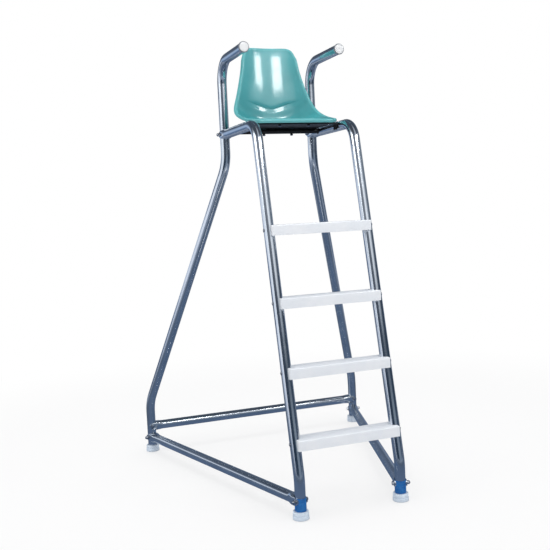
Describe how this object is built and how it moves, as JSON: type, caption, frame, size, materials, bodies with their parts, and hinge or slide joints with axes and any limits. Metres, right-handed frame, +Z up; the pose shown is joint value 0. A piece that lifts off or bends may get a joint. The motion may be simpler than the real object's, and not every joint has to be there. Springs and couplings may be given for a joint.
{
  "type": "lifeguard chair",
  "caption": "Tall lifeguard chair: bent stainless tube frame on rubber feet, moulded ladder treads, one-piece bucket seat and open handrails.",
  "frame": {"origin": "on the floor, at the middle of the chair's footprint box", "axes": "+Z up; the ladder and the seat face -Y; +X is to the right of someone who faces the chair, across its mirror plane"},
  "size_m": [1.344, 1.4002, 2.1703],
  "materials": {
    "stainless": "polished stainless steel tube",
    "fastener_steel": "bright machined stainless steel",
    "brass": "machined brass",
    "black_paint": "black painted steel, satin",
    "seat_plastic": "glossy moulded teal shell",
    "white_plastic": "moulded white plastic, fine grain",
    "foot_rubber": "matt off-white rubber",
    "blue_plastic": "glossy blue plastic sleeve"
  },
  "bodies": {
    "root": {"left_front_rail": "stainless", "left_rear_post": "stainless", "left_side_tube": "stainless", "front_left_foot": "foot_rubber", "rear_left_foot": "foot_rubber", "left_leg_sleeve": "blue_plastic", "left_handrail_cap": "white_plastic", "left_seat_rail_bolt": "fastener_steel", "left_seat_rail_cap_nut": "fastener_steel", "left_front_base_bolt": "fastener_steel", "left_front_base_cap_nut": "fastener_steel", "left_rear_base_bolt": "fastener_steel", "left_rear_base_cap_nut": "fastener_steel", "left_cross_tube_bolt": "fastener_steel", "left_cross_tube_cap_nut": "fastener_steel", "right_front_rail": "stainless", "right_rear_post": "stainless", "right_side_tube": "stainless", "front_right_foot": "foot_rubber", "rear_right_foot": "foot_rubber", "right_leg_sleeve": "blue_plastic", "right_handrail_cap": "white_plastic", "right_seat_rail_bolt": "fastener_steel", "right_seat_rail_cap_nut": "fastener_steel", "right_front_base_bolt": "fastener_steel", "right_front_base_cap_nut": "fastener_steel", "right_rear_base_bolt": "fastener_steel", "right_rear_base_cap_nut": "fastener_steel", "right_cross_tube_bolt": "fastener_steel", "right_cross_tube_cap_nut": "fastener_steel", "rear_cross_tube": "stainless", "rear_seat_bearer": "black_paint", "front_seat_strap": "black_paint", "seat_plate": "black_paint", "seat_shell": "seat_plastic", "tread_1": "white_plastic", "tread_1_left_bolt": "fastener_steel", "tread_1_left_insert": "brass", "tread_1_right_bolt": "fastener_steel", "tread_1_right_insert": "brass", "tread_2": "white_plastic", "tread_2_left_bolt": "fastener_steel", "tread_2_left_insert": "brass", "tread_2_right_bolt": "fastener_steel", "tread_2_right_insert": "brass", "tread_3": "white_plastic", "tread_3_left_bolt": "fastener_steel", "tread_3_left_insert": "brass", "tread_3_right_bolt": "fastener_steel", "tread_3_right_insert": "brass", "tread_4": "white_plastic", "tread_4_left_bolt": "fastener_steel", "tread_4_left_insert": "brass", "tread_4_right_bolt": "fastener_steel", "tread_4_right_insert": "brass", "front_left_seat_bolt": "fastener_steel", "rear_left_seat_bolt": "fastener_steel", "front_right_seat_bolt": "fastener_steel", "rear_right_seat_bolt": "fastener_steel"}
  },
  "joints": []
}
